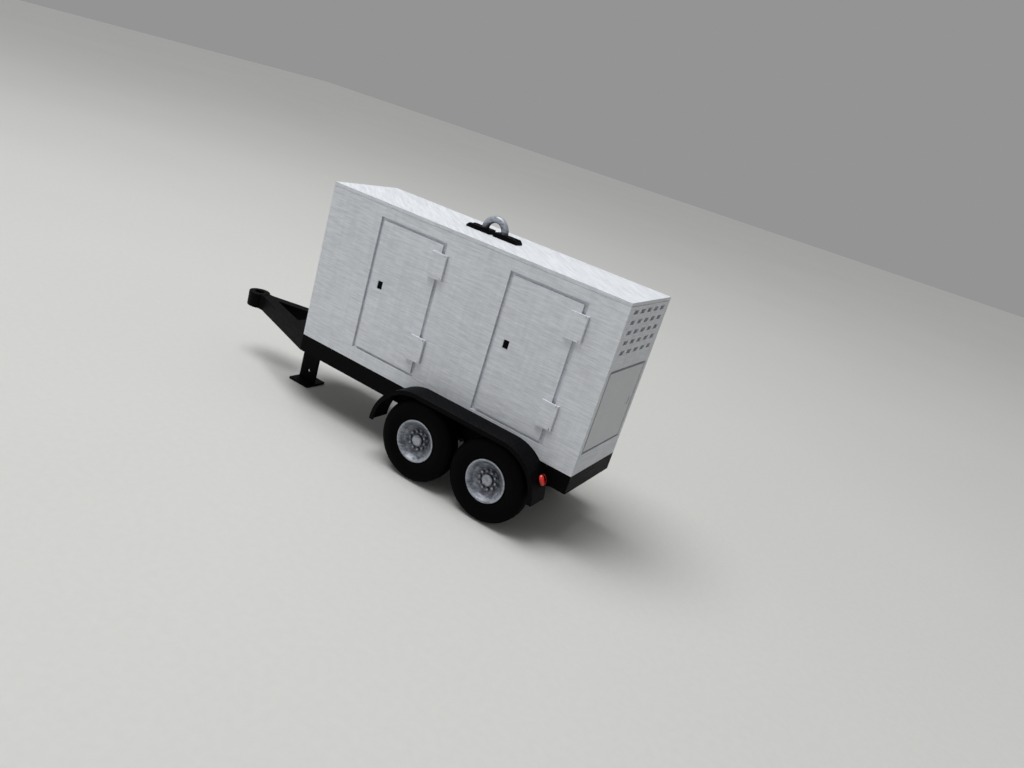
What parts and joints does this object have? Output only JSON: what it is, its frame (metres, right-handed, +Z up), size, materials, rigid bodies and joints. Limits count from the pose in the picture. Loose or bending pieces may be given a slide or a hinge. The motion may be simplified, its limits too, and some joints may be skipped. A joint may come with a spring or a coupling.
{
  "type": "towable diesel generator",
  "caption": "Miniature tandem-axle generator trailer: a box enclosure with side and rear doors on a black frame with an A-frame drawbar, drop-leg jack, fenders and a roof lifting eye.",
  "frame": {"origin": "centre of the footprint on the floor, midway between the tow eye's front and the rear wall", "axes": "+X to the rear of the trailer, -Y its left (pictured) side, +Z up"},
  "size_m": [0.103, 0.0322, 0.0566],
  "materials": {
    "white_print": "white printed plastic with fine layer lines",
    "smooth_print": "light grey printed plastic, smoother than the walls",
    "black_print": "black printed plastic, slightly satin",
    "black_tyre": "matt black printed plastic that stands for rubber",
    "silver_paint": "printed plastic brushed with silver paint",
    "red_lens": "red painted lens",
    "grey_print": "grey printed plastic"
  },
  "bodies": {
    "trailer": {"chassis_frame": "black_print", "drawbar": "black_print", "tow_eye": "black_print", "jack_sleeve": "black_print", "front_axle": "black_print", "rear_axle": "black_print", "left_front_spring": "grey_print", "left_rear_spring": "grey_print", "right_front_spring": "grey_print", "right_rear_spring": "grey_print", "left_fender": "black_print", "left_tail_lamp": "red_lens", "right_fender": "black_print", "right_tail_lamp": "red_lens", "enclosure_walls": "white_print", "base_pan": "black_print", "roof_panel": "white_print", "front_lift_bar": "black_print", "rear_lift_bar": "black_print", "lift_ring": "silver_paint", "diesel_engine": "grey_print", "alternator": "black_print", "radiator": "black_print", "muffler": "grey_print", "fuel_tank": "black_print", "battery": "black_print", "control_panel": "grey_print"},
    "jack": {"jack_leg": "black_print", "jack_foot": "black_print"},
    "fan": {"cooling_fan": "black_print"},
    "left_front_wheel": {"left_front_tyre": "black_tyre", "left_front_rim": "silver_paint", "left_front_hub": "silver_paint"},
    "left_rear_wheel": {"left_rear_tyre": "black_tyre", "left_rear_rim": "silver_paint", "left_rear_hub": "silver_paint"},
    "right_front_wheel": {"right_front_tyre": "black_tyre", "right_front_rim": "silver_paint", "right_front_hub": "silver_paint"},
    "right_rear_wheel": {"right_rear_tyre": "black_tyre", "right_rear_rim": "silver_paint", "right_rear_hub": "silver_paint"},
    "left_front_door": {"left_front_door": "white_print", "left_front_door_lower_hinge": "white_print", "left_front_door_upper_hinge": "white_print"},
    "left_rear_door": {"left_rear_door": "white_print", "left_rear_door_lower_hinge": "white_print", "left_rear_door_upper_hinge": "white_print"},
    "right_front_door": {"right_front_door": "white_print", "right_front_door_lower_hinge": "white_print", "right_front_door_upper_hinge": "white_print"},
    "right_rear_door": {"right_rear_door": "white_print", "right_rear_door_lower_hinge": "white_print", "right_rear_door_upper_hinge": "white_print"},
    "left_front_latch": {"left_front_door_latch": "black_print"},
    "left_rear_latch": {"left_rear_door_latch": "black_print"},
    "right_front_latch": {"right_front_door_latch": "black_print"},
    "right_rear_latch": {"right_rear_door_latch": "black_print"},
    "rear_door": {"rear_door": "smooth_print"},
    "rear_latch": {"rear_door_latch": "smooth_print"}
  },
  "joints": [
    {"name": "left_front_wheel_spin", "type": "hinge", "parent": "trailer", "child": "left_front_wheel", "pos_m": [0.01825, -0.01375, 0.009], "axis": [0, 1, 0], "continuous": true},
    {"name": "left_rear_wheel_spin", "type": "hinge", "parent": "trailer", "child": "left_rear_wheel", "pos_m": [0.03655, -0.01375, 0.009], "axis": [0, 1, 0], "continuous": true},
    {"name": "right_front_wheel_spin", "type": "hinge", "parent": "trailer", "child": "right_front_wheel", "pos_m": [0.01825, 0.01375, 0.009], "axis": [0, 1, 0], "continuous": true},
    {"name": "right_rear_wheel_spin", "type": "hinge", "parent": "trailer", "child": "right_rear_wheel", "pos_m": [0.03655, 0.01375, 0.009], "axis": [0, 1, 0], "continuous": true},
    {"name": "left_front_door_swing", "type": "hinge", "parent": "trailer", "child": "left_front_door", "pos_m": [0.01105, -0.0109, 0.0344], "axis": [0, 0, 1], "range_deg": [0, 110]},
    {"name": "left_rear_door_swing", "type": "hinge", "parent": "trailer", "child": "left_rear_door", "pos_m": [0.04435, -0.0109, 0.0344], "axis": [0, 0, 1], "range_deg": [0, 110]},
    {"name": "right_front_door_swing", "type": "hinge", "parent": "trailer", "child": "right_front_door", "pos_m": [0.01105, 0.0109, 0.0344], "axis": [0, 0, -1], "range_deg": [0, 110]},
    {"name": "right_rear_door_swing", "type": "hinge", "parent": "trailer", "child": "right_rear_door", "pos_m": [0.04435, 0.0109, 0.0344], "axis": [0, 0, -1], "range_deg": [0, 110]},
    {"name": "left_front_latch_pull", "type": "hinge", "parent": "left_front_door", "child": "left_front_latch", "pos_m": [-0.0038, -0.01027, 0.03575], "axis": [-1, 0, 0], "range_deg": [0, 40]},
    {"name": "left_rear_latch_pull", "type": "hinge", "parent": "left_rear_door", "child": "left_rear_latch", "pos_m": [0.0295, -0.01027, 0.03575], "axis": [-1, 0, 0], "range_deg": [0, 40]},
    {"name": "right_front_latch_pull", "type": "hinge", "parent": "right_front_door", "child": "right_front_latch", "pos_m": [-0.0038, 0.01027, 0.03575], "axis": [1, 0, 0], "range_deg": [0, 40]},
    {"name": "right_rear_latch_pull", "type": "hinge", "parent": "right_rear_door", "child": "right_rear_latch", "pos_m": [0.0295, 0.01027, 0.03575], "axis": [1, 0, 0], "range_deg": [0, 40]},
    {"name": "rear_door_swing", "type": "hinge", "parent": "trailer", "child": "rear_door", "pos_m": [0.05105, -0.00825, 0.02975], "axis": [0, 0, -1], "range_deg": [0, 100]},
    {"name": "rear_latch_pull", "type": "hinge", "parent": "rear_door", "child": "rear_latch", "pos_m": [0.05117, 0.007, 0.03025], "axis": [0, -1, 0], "range_deg": [0, 40]},
    {"name": "jack_slide", "type": "slide", "parent": "trailer", "child": "jack", "axis": [0, 0, 1], "range_m": [0, 0.0116]},
    {"name": "fan_spin", "type": "hinge", "parent": "trailer", "child": "fan", "pos_m": [0.0361, 0, 0.03], "axis": [1, 0, 0], "continuous": true}
  ]
}
